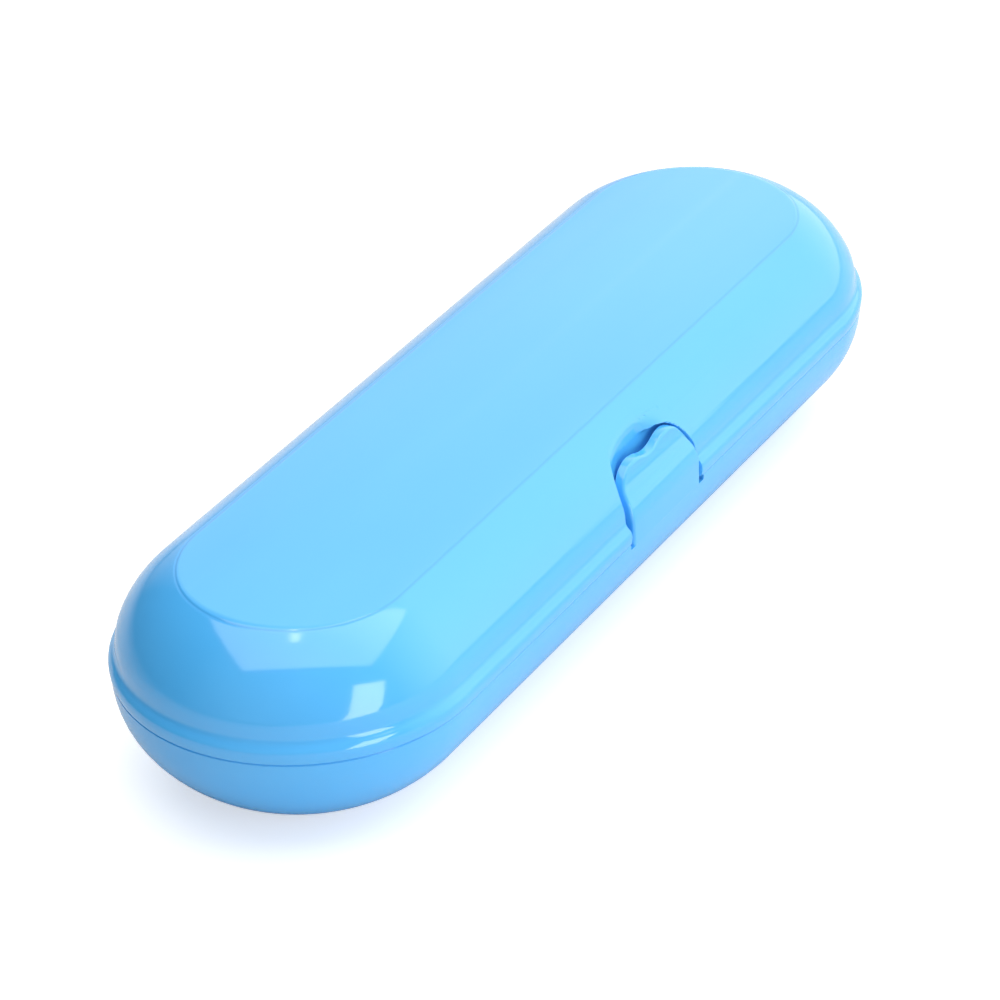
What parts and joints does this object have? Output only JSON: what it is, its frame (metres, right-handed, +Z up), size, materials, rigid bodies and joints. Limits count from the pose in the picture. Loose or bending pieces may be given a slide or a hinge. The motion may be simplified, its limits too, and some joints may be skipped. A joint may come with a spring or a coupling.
{
  "type": "electric toothbrush travel case",
  "caption": "Long round-ended hinged travel case with a bowl base, a crowned lid with a rim band, a front snap tongue and an inner tray for a toothbrush handle and brush heads.",
  "frame": {"origin": "middle of the flat foot of the base, on the surface that the case stands on", "axes": "+X along the case, +Z up through the lid, -Y towards the snap tongue, +Y towards the hinges"},
  "size_m": [0.225, 0.0775, 0.0442],
  "materials": {
    "shell_plastic": "high gloss sky blue",
    "tray_plastic": "satin white",
    "pin_steel": "ground"
  },
  "bodies": {
    "base": {"base_shell": "shell_plastic", "inner_tray": "tray_plastic", "hinge_pin_left": "pin_steel", "hinge_pin_right": "pin_steel"},
    "lid": {"lid_shell": "shell_plastic"},
    "latch": {"latch_tongue": "shell_plastic"}
  },
  "joints": [
    {"name": "lid_hinge", "type": "hinge", "parent": "base", "child": "lid", "pos_m": [0, 0.0389, 0.0238], "axis": [-1, 0, 0], "range_deg": [0, 180]},
    {"name": "latch_flex", "type": "hinge", "parent": "base", "child": "latch", "pos_m": [0, -0.03566, 0.0226], "axis": [1, 0, 0], "range_deg": [0, 15], "stiffness_Nm_per_rad": 0.25}
  ]
}
